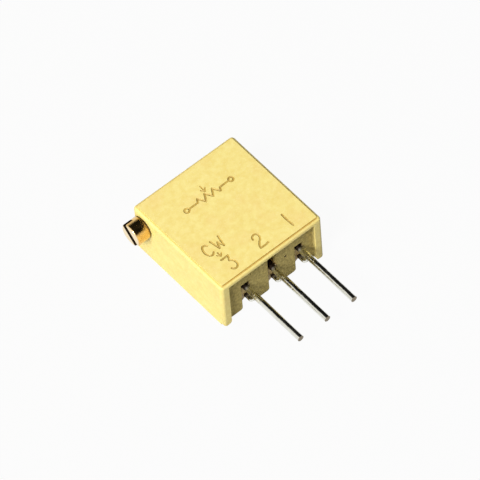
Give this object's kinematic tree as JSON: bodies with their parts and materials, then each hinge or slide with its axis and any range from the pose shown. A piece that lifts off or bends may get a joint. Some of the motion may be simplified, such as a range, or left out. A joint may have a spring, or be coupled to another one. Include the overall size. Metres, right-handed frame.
{
  "type": "trimmer potentiometer",
  "caption": "Square multi-turn trimmer potentiometer with a side screw, a worm drive inside and round pins in a line, in a moulded yellow case.",
  "frame": {"origin": "centre of the back face, at the height of the case's back rim", "axes": "+Z out of the marked face, -Y the way the pins leave, -X the way the adjusting screw leaves"},
  "size_m": [0.0108, 0.0158, 0.0048],
  "materials": {
    "moulded_case": "moulded glass-filled plastic, yellow, satin",
    "potting_epoxy": "cast epoxy, tan, smooth",
    "alumina": "fired, matt",
    "cermet_film": "printed and fired film, semi-gloss",
    "silver_palladium": "printed and fired film, dull",
    "tinned_wire": "bright tin on copper wire",
    "solder": "dull solder",
    "screw_brass": "turned, bright",
    "seal_rubber": "silicone rubber",
    "retainer_steel": "stamped",
    "wheel_nylon": "moulded nylon",
    "wiper_alloy": "spring metal with a precious-metal finish"
  },
  "bodies": {
    "housing": {"case": "moulded_case", "potting": "potting_epoxy", "substrate": "alumina", "resistive_track": "cermet_film", "collector_track": "silver_palladium", "end_pad_1": "silver_palladium", "end_pad_3": "silver_palladium", "pin_1": "tinned_wire", "pin_2": "tinned_wire", "pin_3": "tinned_wire", "solder_1": "solder", "solder_2": "solder", "solder_3": "solder", "screw_retainer": "retainer_steel"},
    "screw": {"adjusting_screw": "screw_brass", "screw_seal": "seal_rubber"},
    "wheel": {"worm_wheel": "wheel_nylon", "wiper": "wiper_alloy"}
  },
  "joints": [
    {"name": "screw_turn", "type": "hinge", "parent": "housing", "child": "screw", "pos_m": [0, 0.0039, 0.00341], "axis": [1, 0, 0], "range_deg": [-3780, 3780]},
    {"name": "wheel_turn", "type": "hinge", "parent": "housing", "child": "wheel", "pos_m": [0, 0.00015, 0.00341], "axis": [0, 0, 1], "range_deg": [-151.2, 151.2]}
  ],
  "couplings": [
    {"joint": "wheel_turn", "follows": "screw_turn", "ratio": 0.04}
  ]
}
